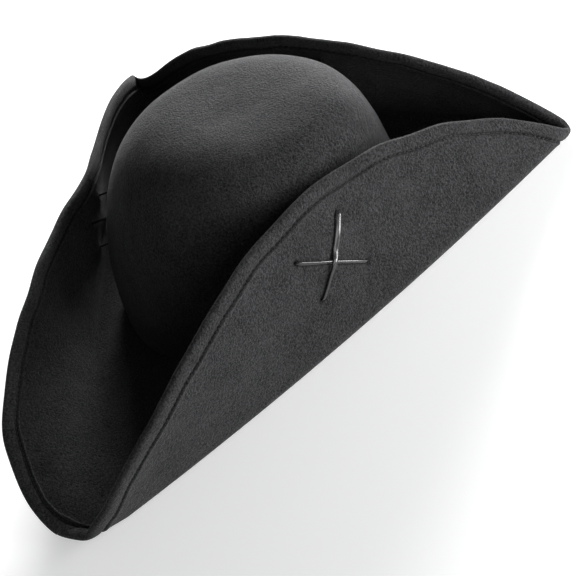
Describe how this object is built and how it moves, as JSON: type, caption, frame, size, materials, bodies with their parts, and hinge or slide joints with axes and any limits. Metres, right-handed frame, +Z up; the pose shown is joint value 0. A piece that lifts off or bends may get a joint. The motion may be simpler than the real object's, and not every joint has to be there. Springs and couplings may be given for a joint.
{
  "type": "tricorn hat",
  "caption": "Black felt tricorn hat with a hollow domed crown and a wide brim turned up into flaps, each laced to the crown with crossed glossy laces.",
  "frame": {"origin": "middle of the outline seen from above, on the surface that the hat rests on", "axes": "+Z up, front point towards -Y, wearer's right towards -X"},
  "size_m": [0.3612, 0.3342, 0.1108],
  "materials": {
    "felt": "matt black felt with a short, slightly mottled nap",
    "lace": "glossy black flat lace"
  },
  "bodies": {
    "root": {"crown": "felt", "brim": "felt", "lace_right_rising": "lace", "lace_right_falling": "lace", "lace_left_rising": "lace", "lace_left_falling": "lace", "lace_back_rising": "lace", "lace_back_falling": "lace"}
  },
  "joints": []
}
